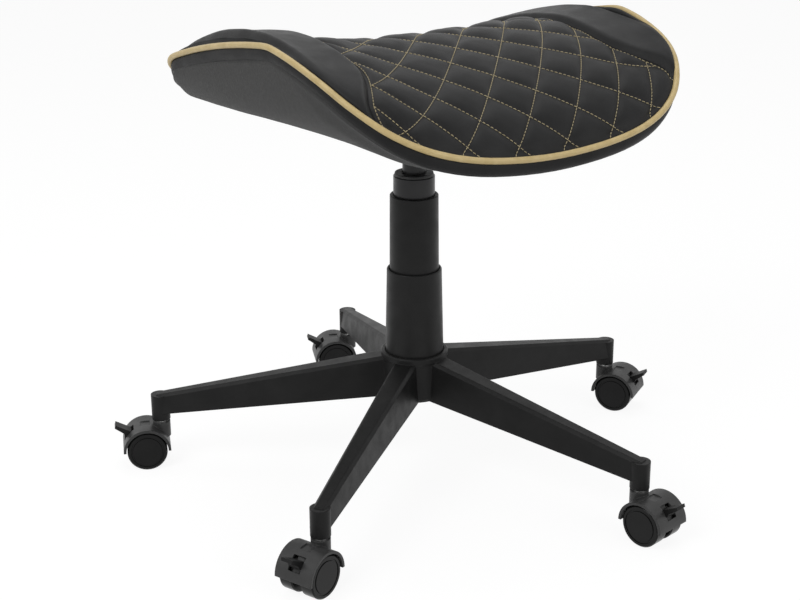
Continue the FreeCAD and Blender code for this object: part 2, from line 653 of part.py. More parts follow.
# The seat: sections across the seat at each station, joined from wing to wing.
def stations():
    one_side = [[v("seat_%s_%s" % (word, "abcdefgh"[k])) for word in STATION_NAMES] for k in range(len(STATIONS))]
    other = [[-row[0]] + row[1:] for row in one_side[:0:-1]]
    return other + one_side


def blend(a, b, share):
    return a + (b - a) * share


def arc(a, b, c):
    return Part.Arc(a, b, c).toShape()


def cushion_wire(row):
    x, fy, fz, by, bz, jz, cz = row
    crest = v("crest_y")

    def top(edge_y, edge_z, place, rise):
        return Vector(x, blend(crest, edge_y, v(place)), blend(edge_z, cz, v(rise)))

    front, back = Vector(x, fy, fz), Vector(x, by, bz)
    left, right = top(fy, fz, "shoulder_at", "shoulder_up"), top(by, bz, "shoulder_at", "shoulder_up")
    return Part.Wire([
        arc(front, top(fy, fz, "roll_at", "roll_up"), left),
        arc(left, Vector(x, crest, cz), right),
        arc(right, top(by, bz, "roll_at", "roll_up"), back),
        arc(back, Vector(x, (fy + by) / 2, jz), front),
    ])


def layer_wire(row, top, low, draw_top, draw_low):
    x, fy, fz, by, bz, jz, cz = row
    middle = (fy + by) / 2
    a, b = Vector(x, fy + draw_top, fz + top), Vector(x, by - draw_top, bz + top)
    c, d = Vector(x, by - draw_low, bz - low), Vector(x, fy + draw_low, fz - low)
    return Part.Wire([
        arc(a, Vector(x, middle, jz + top), b), Part.makeLine(b, c),
        arc(c, Vector(x, middle, jz - low), d), Part.makeLine(d, a),
    ])


def lofted(wires, straight=False):
    return Part.makeLoft(wires, True, straight)


def row_at(x):
    """The station sizes at any distance from the middle."""
    rows = [row for row in stations() if row[0] >= 0]
    for a, b in zip(rows, rows[1:]):
        if abs(x) <= b[0]:
            break
    share = (abs(x) - a[0]) / (b[0] - a[0])
    return [blend(p, q, share) for p, q in zip(a, b)]


def joint_height(row, y):
    middle = (row[1] + row[3]) / 2
    edge_y, edge_z = (row[1], row[2]) if y < middle else (row[3], row[4])
    return row[5] - (row[5] - edge_z) * ((y - middle) / (edge_y - middle)) ** 2


def shrunk(rows, inset):
    """The stations drawn in by an inset, still on the joint surface."""
    out = []
    for x, fy, fz, by, bz, jz, cz in rows:
        near = x * (1 - inset / v("seat_x_h"))
        base = row_at(near)
        front, back = fy + inset, by - inset
        out.append([near, front, joint_height(base, front), back, joint_height(base, back),
                    joint_height(base, (front + back) / 2), cz])
    return out


def piping():
    """The piping loop: short straight lengths with an eight-sided section."""
    rows = stations()
    edge = v("seat_x_h") + 1.5
    rise = v("seat_joint_z_h") + 0.7
    middle = (v("seat_front_y_h") + v("seat_back_y_h")) / 2
    left, right = Vector(-edge, middle, rise), Vector(edge, middle, rise)
    loop = [left] + [Vector(row[0], row[1], row[2]) for row in rows] + [right]
    loop += [Vector(row[0], row[3], row[4]) for row in reversed(rows)]
    curve = Part.BSplineCurve()
    curve.interpolate(Points=loop, PeriodicFlag=True)
    return [piping_length(curve, k / 2.0) for k in range(2)]


def piping_length(curve, start):
    span = curve.LastParameter - curve.FirstParameter
    count = int(v("piping_steps"))
    rings = []
    for k in range(count + 1):
        place = curve.FirstParameter + span * (start + 0.5 * k / count)
        along = curve.tangent(place)[0]
        out = along.cross(Vector(0, 0, 1)).normalize()
        up = out.cross(along).normalize()
        centre = curve.value(place) + out * v("piping_out")
        corners = []
        for side in range(9):
            turn = math.radians(45 * side + 22.5)
            corners.append(centre + out * (v("piping_r") * math.cos(turn)) + up * (v("piping_r") * math.sin(turn)))
        rings.append(Part.makePolygon(corners))
    return Part.makeLoft(rings, True, True)


def largest(shape):
    return max(shape.Solids, key=lambda solid: solid.Volume)


def crown_height(x, y):
    row = row_at(x)
    edge_y, edge_z = (row[1], row[2]) if y < v("crest_y") else (row[3], row[4])
    place = (y - v("crest_y")) / (edge_y - v("crest_y"))
    drop = (row[6] - edge_z) * (1 - v("shoulder_up"))
    return row[6] - drop * (place / v("shoulder_at")) ** 2, place


def channel(x0, way):
    """One sewn channel: a thin upright blade that follows the crown along a diagonal."""
    step = Vector(way * v("diamond_x") / 2, v("diamond_y") / 2, 0)
    length = step.Length
    spots = []
    for k in range(0, 141):
        share = k * 0.1
        x, y = x0 + step.x * share, v("diamond_y0") + step.y * share
        if abs(x) > v("seam_x") + 6:
            continue
        height, place = crown_height(x, y)
        if place < 0.86:
            spots.append(Vector(x, y, height - v("channel_d")))
    if len(spots) < 8:
        return None
    picked = [spots[round(i * (len(spots) - 1) / 6)] for i in range(7)]
    curve = Part.BSplineCurve()
    curve.interpolate(picked)
    first, last = picked[0], picked[-1]
    high_a, high_b = Vector(first.x, first.y, 640), Vector(last.x, last.y, 640)
    face = Part.Face(Part.Wire([
        curve.toShape(), Part.makeLine(last, high_b), Part.makeLine(high_b, high_a), Part.makeLine(high_a, first),
    ]))
    across = Vector(-step.y / length, step.x / length, 0)
    face.translate(across * (-v("channel_w") / 2))
    return face.extrude(across * v("channel_w"))


def bolt_ways():
    ways = []
    for i in (-1, 1):
        for j in (-1, 1):
            foot = Vector(i * v("bolt_pitch_x") / 2, v("plate_shift") + j * v("bolt_pitch_y") / 2, v("plate_low"))
            ways.append(Part.makeCylinder(v("bolt_r"), v("plate_t") + v("bolt_grip"), foot))
    return ways


def plain(label, shape):
    obj = DOC.addObject("Part::Feature", label)
    obj.Shape = shape
    node(obj, label)


def seat():
    rows = stations()
    whole = lofted([cushion_wire(row) for row in rows])
    lower = lofted([layer_wire(row, 3, v("band_h"), 0, v("band_draw")) for row in rows], straight=True)
    lower = largest(lower.cut(whole))
    core_rows = shrunk(rows, v("band_w"))
    core = lofted([layer_wire(row, 40, v("band_h") + 40, 0, 0) for row in core_rows], straight=True)
    board = largest(lower.common(core).cut(bolt_ways()))
    band = largest(lower.cut(core))
    under_rows = shrunk(rows, v("under_in"))
    reach = v("band_h") + v("under_t")
    under = lofted([layer_wire(row, -v("band_h") + 4, reach, 0, 5) for row in under_rows], straight=True)
    under = largest(under.cut([lower] + bolt_ways()))
    seam = v("seam_x")
    middle = whole.common(Part.makeBox(2 * seam, 800, 400, Vector(-seam, -400, 300)))
    count = int(2 * 400 / v("diamond_x"))
    for way in (1, -1):
        blades = []
        for k in range(-count, count):
            blade = channel(way * (k + 0.5) * v("diamond_x"), way)
            if blade is not None:
                blades.append(blade)
        middle = middle.cut(blades)
    wing = Part.makeBox(200, 800, 400, Vector(seam, -400, 300))
    plain("seat_quilt", largest(middle))
    plain("wing_right", largest(whole.common(wing)))
    plain("wing_left", largest(whole.common(wing.mirror(Vector(0, 0, 0), Vector(1, 0, 0)))))
    plain("seat_piping", Part.makeCompound(piping()))
    plain("seat_band", band)
    plain("seat_board", board)
    plain("seat_underside", under)


base_star()
gas_lift()
seat_plate()
bolts()
lever()
for letter, arm, heading in CASTERS:
    caster(letter, arm, v("heading_%s" % letter))
DOC.recompute()
seat()
DOC.recompute()

for obj in DOC.Objects:
    if "Invalid" in obj.State or "Error" in obj.State:
        raise RuntimeError("%s did not build: %s" % (obj.Label, obj.State))
os.makedirs("parts", exist_ok=True)
for obj in NODES:
    if obj.Shape.isNull() or not obj.Shape.isValid():
        raise RuntimeError("%s has no sound shape" % obj.Label)
    obj.Shape.exportStep("parts/%s.step" % obj.Label)
    print(obj.Label, len(obj.Shape.Solids), round(obj.Shape.Volume / 1000.0, 1))
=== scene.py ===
import bisect
import collections
import functools
import json
import math

import bpy
from mathutils import Matrix, Vector, noise


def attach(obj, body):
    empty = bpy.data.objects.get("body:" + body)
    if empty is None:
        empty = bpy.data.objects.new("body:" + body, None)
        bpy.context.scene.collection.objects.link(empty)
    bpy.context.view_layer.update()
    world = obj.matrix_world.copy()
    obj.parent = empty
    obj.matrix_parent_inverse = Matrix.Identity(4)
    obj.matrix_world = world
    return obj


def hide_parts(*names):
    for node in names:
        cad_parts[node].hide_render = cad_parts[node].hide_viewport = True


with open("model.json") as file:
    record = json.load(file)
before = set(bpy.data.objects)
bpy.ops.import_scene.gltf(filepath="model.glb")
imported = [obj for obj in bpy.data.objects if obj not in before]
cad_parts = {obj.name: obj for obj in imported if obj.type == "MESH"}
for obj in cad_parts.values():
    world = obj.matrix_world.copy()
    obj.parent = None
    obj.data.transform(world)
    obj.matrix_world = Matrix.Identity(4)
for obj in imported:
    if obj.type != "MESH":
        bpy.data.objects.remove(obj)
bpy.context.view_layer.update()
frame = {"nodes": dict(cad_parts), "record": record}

MM = 0.001
NODES = frame["nodes"]

# Seat form in millimetres: stations from the middle to a wing end, with distance,
# front edge and height, back edge and height, height of the joint line half-way,
# and height of the crest. The edges are the part's, but for the wing ends; the crown
# and the joint line follow the photograph more closely than its solids do.
Section = collections.namedtuple("Section", "x front front_z back back_z joint crest")
STATIONS = (
    Section(0, -269, 460, 196, 456, 483.5, 557),
    Section(82, -268, 466, 195, 462, 486, 558),
    Section(141, -259, 479, 192, 471, 494, 561),
    Section(183, -240, 499, 186, 485, 496, 564),
    Section(211.5, -209, 524.6, 177, 495, 504, 568),
    Section(225.6, -173, 546, 170, 505, 515, 571),
    Section(232.6, -125, 562, 161, 514, 534, 571.5),
    Section(235, -83, 570, 152, 521, 552, 572),
)
LAST = len(STATIONS) - 1
WING_END = STATIONS[LAST].x
CREST_Y = -50
CREST_ROOM = 25
FRONT_POWER, FRONT_ROUND = 1.6, 0.58
BACK_POWER, BACK_ROUND = 1.4, 0.8
# The left wing is stuffed fuller than the right one.
WING_FROM, WING_OVER = 100, 90
WING_LEAN = 7
LEFT_FULLNESS, RIGHT_FULLNESS = 0.6, 0.18
SEAM_X = 165
SEAM_FLARE = 31
SEAM_FLARE_FROM = 0.45
TIP_BULGE = 1.5
TIP_FROM, TIP_OVER = 208, 27
TIP_LEAN = 5
TIP_LEAN_BACK = 10
TIP_ROLL_FROM = 221
TIP_ROLL_TO = 236.5
BAND_H = 18
BAND_W = 9
UNDER_T = 6
PIPING_R = 3.4
PIPING_OUT = 2

# The quilt's diamonds and its sewing, in millimetres.
DIAMOND_X = 63
DIAMOND_LONG = 73
DIAMOND_AT = (-107.5, 14.5)
CHANNEL_DEPTH = 4.4
CHANNEL_FLOOR = 1.1
CHANNEL_RISE = 6.5
SEAM_DEPTH = 6.0
EDGE_FADE = 9.0
STITCH_PITCH = 4.8
STITCH_LENGTH = 3.7
STITCH_REACH = 0.9985
THREAD_R = 0.5
THREAD_LIFT = 0.35
# How wide the drawn-in seam is on either side, and how the wing swells out of it.
QUILT_SEAM_W = 5.5
PILLOW_ROOM = 10
WING_SEAM_W = 4.5
WING_SWELL = 3.0
WING_SWELL_RISE = 5
WING_SWELL_FALL = 32


# Small helpers for sections, grids and objects.
def smooth_step(value):
    """From 0 to 1 with a soft start and end."""
    value = max(0.0, min(1.0, value))
    return value * value * (3 - 2 * value)


def through(p0, p1, p2, p3, share):
    """A point on the smooth curve from p1 to p2."""
    return [
        0.5 * (2 * b + (c - a) * share + (2 * a - 5 * b + 4 * c - d) * share ** 2
               + (3 * b - a - 3 * c + d) * share ** 3)
        for a, b, c, d in zip(p0, p1, p2, p3)
    ]


def section(place):
    """Section sizes along the seat, from -LAST at the left wing end to LAST at the right one."""
    right = place >= 0
    place = min(abs(place), LAST)
    k = min(int(place), LAST - 1)
    before = STATIONS[k - 1] if k else STATIONS[1]._replace(x=-STATIONS[1].x)
    if k + 2 <= LAST:
        after = STATIONS[k + 2]
    else:
        after = [2 * b - a for a, b in zip(STATIONS[k], STATIONS[k + 1])]
    row = Section(*through(before, STATIONS[k], STATIONS[k + 1], after, place - k))
    if not right:
        return row._replace(x=-row.x)
    near_tip = smooth_step((row.x - TIP_FROM) / TIP_OVER)
    return row._replace(
        front_z=row.front_z - TIP_LEAN * near_tip,
        back_z=row.back_z - TIP_LEAN_BACK * near_tip,
        joint=row.joint - TIP_LEAN_BACK * near_tip)


PLACE_STEPS = 200
PLACES = [section(k / PLACE_STEPS).x for k in range(LAST * PLACE_STEPS + 1)]


def place_of(x):
    """Where along the seat the section lies at distance x from the middle."""
    k = min(max(bisect.bisect(PLACES, abs(x)), 1), len(PLACES) - 1)
    share = (abs(x) - PLACES[k - 1]) / (PLACES[k] - PLACES[k - 1])
    return math.copysign((k - 1 + share) / PLACE_STEPS, x)


def joint_height(row, y):
    """Height of the joint under the cushion: a smooth arch through both edges and the middle."""
    share = (2 * y - row.front - row.back) / (row.back - row.front)
    tilt = (row.back_z - row.front_z) / 2
    bow = (row.front_z + row.back_z) / 2 - row.joint
    return row.joint + tilt * share + bow * share ** 2


def crest_of(row):
    """Where the crest lies between the front and back edges."""
    return max(CREST_Y, row.front + CREST_ROOM)


def cover_point(row, turn):
    """A point of the smooth crown: turn runs from -1 at the front edge to 1 at the back edge."""
    wing = smooth_step((abs(row.x) - WING_FROM) / WING_OVER)
    crest = row.crest - math.copysign(WING_LEAN, row.x) * wing
    if turn < 0:
        edge_y, edge_z, power, roundness = row.front, row.front_z, FRONT_POWER, FRONT_ROUND
    else:
        fullness = (LEFT_FULLNESS if row.x < 0 else RIGHT_FULLNESS) * wing
        edge_y, edge_z, power, roundness = row.back, row.back_z, BACK_POWER + fullness, BACK_ROUND
    reach = abs(turn)
    y = crest_of(row) + (edge_y - crest_of(row)) * reach
    height = edge_z + (crest - edge_z) * max(0.0, 1 - reach ** power) ** roundness
    past = max(0.0, min(1.0, (abs(row.x) - TIP_ROLL_FROM) / (TIP_ROLL_TO - TIP_ROLL_FROM)))
    seam = joint_height(row, y)
    return Vector((row.x, y, seam + (height - seam) * math.sqrt(1 - past ** 2)))


# Steps along and across the seat between which the crown's direction is taken.
PLACE_STEP = 0.02
TURN_STEP = 0.002


def rows_near(place):
    """The section at a place, and the ones just before and after it."""
    return section(place), section(place - PLACE_STEP), section(place + PLACE_STEP)


def cover_normal(rows, turn):
    """The outward direction of the crown."""
    row, before, after = rows
    turn = max(TURN_STEP - 1, min(1 - TURN_STEP, turn))
    along = cover_point(after, turn) - cover_point(before, turn)
    across = cover_point(row, turn + TURN_STEP) - cover_point(row, turn - TURN_STEP)
    return along.cross(across).normalized()


ARC_STEPS = 160


def eased(k, count):
    """From -1 to 1 over count steps, closer together at both ends."""
    return math.sin(math.pi / 2 * (2 * k / count - 1))


def running_lengths(points):
    """How far each point lies along the line through them all."""
    lengths = [0.0]
    for a, b in zip(points, points[1:]):
        lengths.append(lengths[-1] + (b - a).length)
    return lengths


@functools.lru_cache(maxsize=None)
def arc_table(x):
    """Lengths along the cover from the front edge, at eased steps of the section's turn."""
    row = section(place_of(x))
    return running_lengths([cover_point(row, eased(k, ARC_STEPS)) for k in range(ARC_STEPS + 1)])


def arc_at(x, turn):
    """How far a point lies from the front edge, measured along the cover."""
    table = arc_table(round(x))
    place = (math.asin(turn) / math.pi + 0.5) * ARC_STEPS
    k = min(int(place), ARC_STEPS - 1)
    return table[k] + (table[k + 1] - table[k]) * (place - k)


def turn_at(x, length):
    """The turn that lies at a length along the cover from the front edge."""
    table = arc_table(round(x))
    k = min(max(bisect.bisect(table, length), 1), ARC_STEPS)
    place = k - 1 + (length - table[k - 1]) / (table[k] - table[k - 1])
    return eased(place, ARC_STEPS)


def off_line(share):
    """How far a pillow has risen at a distance from its sewn line, 0 on the line and 1 well away."""
    spacing = 1 / math.hypot(1 / DIAMOND_X, 1 / DIAMOND_LONG)
    away = abs(share - round(share)) * spacing
    return 1 - math.exp(-max(0.0, away - CHANNEL_FLOOR) / CHANNEL_RISE)


def pillow(x, turn):
    """How far the quilt lies below its crown: 0 on a pillow, -CHANNEL_DEPTH on a sewn line."""
    across = (x - DIAMOND_AT[0]) / DIAMOND_X
    along = (arc_at(x, turn) - DIAMOND_AT[1]) / DIAMOND_LONG
    return -CHANNEL_DEPTH * (1 - off_line(across - along) * off_line(across + along))


def wrinkle(point, scale, height):
    """Soft unevenness of a cover."""
    return height * noise.noise(point * scale)


def seam_x(turn):
    """The seam between quilt and wing flares out towards the front and back edges."""
    return SEAM_X + SEAM_FLARE * smooth_step((abs(turn) - SEAM_FLARE_FROM) / (1 - SEAM_FLARE_FROM))


def edge_fade(x, turn):
    """0 at the piping and 1 a little way up the cover."""
    length = arc_at(x, turn)
    return smooth_step(min(length, arc_table(round(x))[-1] - length) / EDGE_FADE)


def quilt_offset(point, turn):
    """Sewn channels, the drawn-in seam beside the wings and the cover's small unevenness."""
    to_seam = seam_x(turn) - abs(point.x)
    seam = -SEAM_DEPTH * math.exp(-(to_seam / QUILT_SEAM_W) ** 2)
    edge = edge_fade(point.x, turn)
    flat = smooth_step(to_seam / PILLOW_ROOM)
    return pillow(point.x, turn) * edge * flat + seam * edge + wrinkle(point, 0.045, 0.35) * edge


def wing_offset(point, turn):
    """The wing panel swells out of its seam, with shallow tension folds."""
    to_seam = abs(point.x) - seam_x(turn)
    edge = edge_fade(point.x, turn)
    seam = -SEAM_DEPTH * math.exp(-(to_seam / WING_SEAM_W) ** 2)
    swell = WING_SWELL * (1 - math.exp(-to_seam / WING_SWELL_RISE)) * math.exp(-to_seam / WING_SWELL_FALL)
    folds = wrinkle(Vector((point.x * 0.6, point.y, point.z)), 0.03, 0.6)
    return (seam + swell + folds) * edge


def mesh_object(name, points, faces, smooth=True):
    """An object in the scene from points in millimetres."""
    mesh = bpy.data.meshes.new(name)
    mesh.from_pydata([Vector(p) * MM for p in points], [], faces)
    mesh.validate()
    if smooth:
        mesh.polygons.foreach_set("use_smooth", [True] * len(mesh.polygons))
    obj = bpy.data.objects.new(name, mesh)
    bpy.context.scene.collection.objects.link(obj)
    return obj


def tube_faces(rings, size, closed=False, first=0):
    """Faces between equal rings of points, one after another."""
    faces = []
    for k in range(rings if closed else rings - 1):
        for j in range(size):
            a, b = first + k * size, first + ((k + 1) % rings) * size
            faces.append((a + j, a + (j + 1) % size, b + (j + 1) % size, b + j))
    return faces


def capped_faces(rings, size, first=0):
    """Faces between rings of points, each end closed by one face."""
    last = first + (rings - 1) * size
    faces = tube_faces(rings, size, first=first)
    faces.append(tuple(range(first + size - 1, first - 1, -1)))
    faces.append(tuple(range(last, last + size)))
    return faces


def capped_tube(name, rings):
    """A closed form through rings of points."""
    points = [p for ring in rings for p in ring]
    return mesh_object(name, points, capped_faces(len(rings), len(rings[0])))


# Seat cover pieces: the quilted middle and the two wing panels.
CROWN_COUNT = 330
UNDER_COUNT = 10
QUILT_RINGS = 236
WING_RINGS = 64
WING_RING_POWER = 1.5
JOINT_GAP = 0.5


def crown_spot(x, turn, offset, lift=0.0):
    """A point of the covered crown and the way it faces."""
    rows = rows_near(place_of(x))
    point = cover_point(rows[0], turn)
    normal = cover_normal(rows, turn)
    return point + normal * (offset(point, turn) + lift), normal


def cushion_ring(x_at, offset):
    """One closed section of a cushion: over the crown and back along the joint."""
    ring = []
    for k in range(CROWN_COUNT + 1):
        turn = eased(k, CROWN_COUNT)
        ring.append(crown_spot(x_at(turn), turn, offset)[0])
    row = section(place_of(x_at(1)))
    for k in range(1, UNDER_COUNT):
        y = row.back + (row.front - row.back) * k / UNDER_COUNT
        ring.append(Vector((row.x, y, joint_height(row, y) + JOINT_GAP)))
    return ring


def quilt_cushion():
    """The quilted middle, from seam to seam."""
    rings = []
    for k in range(QUILT_RINGS + 1):
        share = 2 * k / QUILT_RINGS - 1
        rings.append(cushion_ring(lambda turn: share * seam_x(turn), quilt_offset))
    return capped_tube("quilt_cushion", rings)


def wing_pad(name, side):
    """A wing panel, from its seam to the wing end, with its rings closer together at the end."""
    rings = []
    for k in range(WING_RINGS + 1):
        share = 1 - (1 - k / WING_RINGS) ** WING_RING_POWER
        rings.append(cushion_ring(
            lambda turn: side * (seam_x(turn) + (WING_END - seam_x(turn)) * share), wing_offset))
    return capped_tube(name, rings if side > 0 else rings[::-1])


# The edge loop that the piping and the band follow.
EDGE_STEPS = 90
LOOP_COUNT = 300
LOOP_SMOOTHING = 4
TIP_STEPS = 24


def edge_loop():
    """Points round the seat's edge, evenly smoothed, going from the left wing along the front."""
    rows = [section(LAST * (2 * k / EDGE_STEPS - 1)) for k in range(EDGE_STEPS + 1)]
    loop = [Vector((row.x, row.front, row.front_z)) for row in rows]
    loop += tip_points(rows[-1])
    loop += [Vector((row.x, row.back, row.back_z)) for row in reversed(rows)]
    loop += tip_points(rows[0])[::-1]
    return even_loop(loop, LOOP_COUNT)


def tip_points(row):
    """The edge across a wing end, bulging a little outwards."""
    points = []
    for k in range(1, TIP_STEPS):
        y = row.front + (row.back - row.front) * k / TIP_STEPS
        bulge = TIP_BULGE * (1 - (2 * k / TIP_STEPS - 1) ** 2)
        points.append(Vector((row.x + math.copysign(bulge, row.x), y, joint_height(row, y))))
    return points


def even_loop(points, count):
    """The closed loop with even spacing, its small corners smoothed."""
    closed = points + [points[0]]
    lengths = running_lengths(closed)
    out = []
    k = 0
    for j in range(count):
        want = lengths[-1] * j / count
        while lengths[k + 1] < want:
            k += 1
        share = (want - lengths[k]) / (lengths[k + 1] - lengths[k])
        out.append(closed[k].lerp(closed[k + 1], share))
    for _ in range(LOOP_SMOOTHING):
        out = [(out[j - 1] + 2 * p + out[(j + 1) % count]) / 4 for j, p in enumerate(out)]
    return out


def loop_frames(loop):
    """Each loop point with its outward and upward directions."""
    frames = []
    count = len(loop)
    for j, point in enumerate(loop):
        along = (loop[(j + 1) % count] - loop[j - 1]).normalized()
        out = along.cross(Vector((0, 0, 1))).normalized()
        frames.append((point, out, out.cross(along).normalized()))
    return frames


def circle(centre, right, up, radius, size):
    """Points round a centre, in the plane of two directions."""
    angles = [2 * math.pi * k / size for k in range(size)]
    return [centre + (right * math.cos(a) + up * math.sin(a)) * radius for a in angles]


PIPING_SIDES = 20


def seat_welt(loop):
    """Round piping: a full tube of slightly uneven thickness."""
    points = []
    for point, out, up in loop_frames(loop):
        radius = PIPING_R + wrinkle(point, 0.12, 0.12)
        points += circle(point + out * PIPING_OUT, out, up, radius, PIPING_SIDES)
    return mesh_object("seat_welt", points, tube_faces(len(loop), PIPING_SIDES, closed=True))


# The band's section: outwards from the edge loop, and upwards.
BAND_PROFILE = (
    (-7, 2), (-2.5, 1.5), (0.4, -1.5), (1.5, -4.5), (1.9, -8), (1.5, -11.5), (0.3, -14.6),
    (-1.4, -16.8), (-3.4, -18), (-5.2, -18.4), (-7, -17.6), (-7.6, -11), (-7.4, -5),
)


def side_band(loop):
    """The leather band under the piping: it bulges, then turns in to its lower seam."""
    points = []
    for point, out, _ in loop_frames(loop):
        for reach, rise in BAND_PROFILE:
            puff = wrinkle(point + Vector((0, 0, rise)), 0.04, 0.5) if reach > 0 else 0
            points.append(point + out * (reach + puff) + Vector((0, 0, rise)))
    obj = mesh_object("side_band", points, tube_faces(len(loop), len(BAND_PROFILE), closed=True))
    soften(obj, 1)
    return obj


def soften(obj, levels):
    """Rounds a coarse mesh."""
    modifier = obj.modifiers.new("soften", "SUBSURF")
    modifier.levels = levels
    modifier.render_levels = levels


# The seat plate's top and outline, which the bottom cover is bolted down on.
PLATE_TOP = 452.5
PLATE_X = 75
PLATE_FRONT, PLATE_BACK = -90, 50
PLATE_FADE = 45
# The bottom cover: its grid, its seam inside the band, its rim and where it swells.
COVER_COLUMNS, COVER_STEPS = 90, 60
COVER_INSET = 3.2
COVER_END = 0.12
COVER_END_SLOPE, COVER_END_ROOM = 1.6, 2
COVER_SWELL_OVER = 26
COVER_DROP = 0.5
COVER_RIM = 10
# The board: its grid and how far it stays inside the pieces round it.
BOARD_COLUMNS, BOARD_STEPS = 60, 40
BOARD_END = 0.6
BOARD_ABOVE_COVER = 3
BOARD_BELOW_JOINT = 1


def plate_share(x, y):
    """1 on the seat plate and 0 a little way from it."""
    beside = max(abs(x) - PLATE_X, 0)
    beyond = max(y - PLATE_BACK, PLATE_FRONT - y, 0)
    return 1 - smooth_step(math.hypot(beside, beyond) / PLATE_FADE)


def bottom_cover():
    """The stretched cover below the board: it swells from its seam and lies flat on the seat plate."""
    rings = []
    for c in range(COVER_COLUMNS + 1):
        row = section((LAST - COVER_END) * eased(c, COVER_COLUMNS))
        end = (WING_END - abs(row.x)) * COVER_END_SLOPE + COVER_END_ROOM
        half = (row.back - row.front) / 2 - COVER_INSET
        lower, upper = [], []
        for k in range(COVER_STEPS + 1):
            spread = eased(k, COVER_STEPS)
            y = (row.front + row.back) / 2 + half * spread
            swell = smooth_step(min(half * (1 - abs(spread)), end) / COVER_SWELL_OVER)
            seam = joint_height(row, y) - BAND_H
            sag = wrinkle(Vector((row.x, y, 0)), 0.02, 0.5) - UNDER_T
            low = seam - COVER_DROP + sag * swell
            low += (PLATE_TOP - low) * plate_share(row.x, y)
            lower.append(Vector((row.x, y, low)))
            upper.append(Vector((row.x, y, seam + COVER_RIM)))
        rings.append(lower + upper[::-1])
    return capped_tube("bottom_cover", rings)


def inner_board():
    """The pressed board inside, between the cushion and the bottom cover."""
    rings = []
    for c in range(BOARD_COLUMNS + 1):
        row = section((LAST - BOARD_END) * eased(c, BOARD_COLUMNS))
        width = row.back - row.front - 2 * BAND_W
        spots = [row.front + BAND_W + width * k / BOARD_STEPS for k in range(BOARD_STEPS + 1)]
        joint = [Vector((row.x, y, joint_height(row, y))) for y in spots]
        lower = [p + Vector((0, 0, BOARD_ABOVE_COVER - BAND_H)) for p in joint]
        upper = [p - Vector((0, 0, BOARD_BELOW_JOINT)) for p in reversed(joint)]
        rings.append(lower + upper)
    return capped_tube("inner_board", rings)


# Sewing threads: each stitch is a short capsule that dips at both ends. Its rings give
# a share of the length, and a height and a width as shares of the thread's radius.
STITCH_RINGS = ((-0.5, -0.9, 0.35), (-0.34, -0.1, 0.9), (0, 0.15, 1), (0.34, -0.1, 0.9), (0.5, -0.9, 0.35))
THREAD_SIDES = 6
QUILT_LINES = range(-14, 16)
LONGEST_ARC = 620
QUILT_STITCH_ROOM = 4
SEAM_STITCH_IN = 3.6
SEAM_STITCH_STEPS = 800


class Stitches:
    """Threads gathered into one object."""

    def __init__(self):
        self.points = []
        self.faces = []

    def add(self, centre, along, normal):
        """One stitch."""
        side = along.cross(normal).normalized()
        self.faces += capped_faces(len(STITCH_RINGS), THREAD_SIDES, len(self.points))
        for share, dip, wide in STITCH_RINGS:
            middle = centre + along * (STITCH_LENGTH * share) + normal * (THREAD_R * dip)
            self.points += circle(middle, side, normal, THREAD_R * wide, THREAD_SIDES)

    def along_line(self, spots):
        """Stitches along points with normals, at an even pitch."""
        run = STITCH_PITCH / 2
        for (a, up), (b, _) in zip(spots, spots[1:]):
            gap = b - a
            while run <= gap.length:
                self.add(a + gap.normalized() * run, gap.normalized(), up)
                run += STITCH_PITCH
            run -= gap.length

    def build(self, name):
        """The object with all its stitches."""
        return mesh_object(name, self.points, self.faces)


def quilt_stitches():
    """The stitches along both sets of diagonal lines."""
    threads = Stitches()
    widest = SEAM_X + SEAM_FLARE
    for way in (1, -1):
        for k in QUILT_LINES:
            spots = []
            for length in range(LONGEST_ARC):
                along = (length - DIAMOND_AT[1]) / DIAMOND_LONG
                x = DIAMOND_AT[0] + (k + way * along) * DIAMOND_X
                if abs(x) > widest or length > arc_table(round(x))[-1]:
                    continue
                turn = turn_at(x, length)
                if abs(turn) < STITCH_REACH and abs(x) < seam_x(turn) - QUILT_STITCH_ROOM:
                    spots.append(crown_spot(x, turn, quilt_offset, THREAD_LIFT))
            threads.along_line(spots)
    return threads.build("quilt_stitches")


def seam_stitches():
    """The stitches along both wing seams, on the quilt's side."""
    threads = Stitches()
    for side in (-1, 1):
        spots = []
        for k in range(SEAM_STITCH_STEPS + 1):
            turn = STITCH_REACH * eased(k, SEAM_STITCH_STEPS)
            x = side * (seam_x(turn) - SEAM_STITCH_IN)
            spots.append(crown_spot(x, turn, quilt_offset, THREAD_LIFT))
        threads.along_line(spots)
    return threads.build("seam_stitches")


# Materials. Each has its own short function; patterns are in object space.
# A noise pattern stays between these values nearly everywhere.
NOISE_LOW, NOISE_HIGH = 0.3, 0.7
# The colour sockets of a mix node.
MIX_A, MIX_B, MIX_RESULT = 6, 7, 2
EDGE_RADIUS = 0.0015
EDGE_SAMPLES = 4


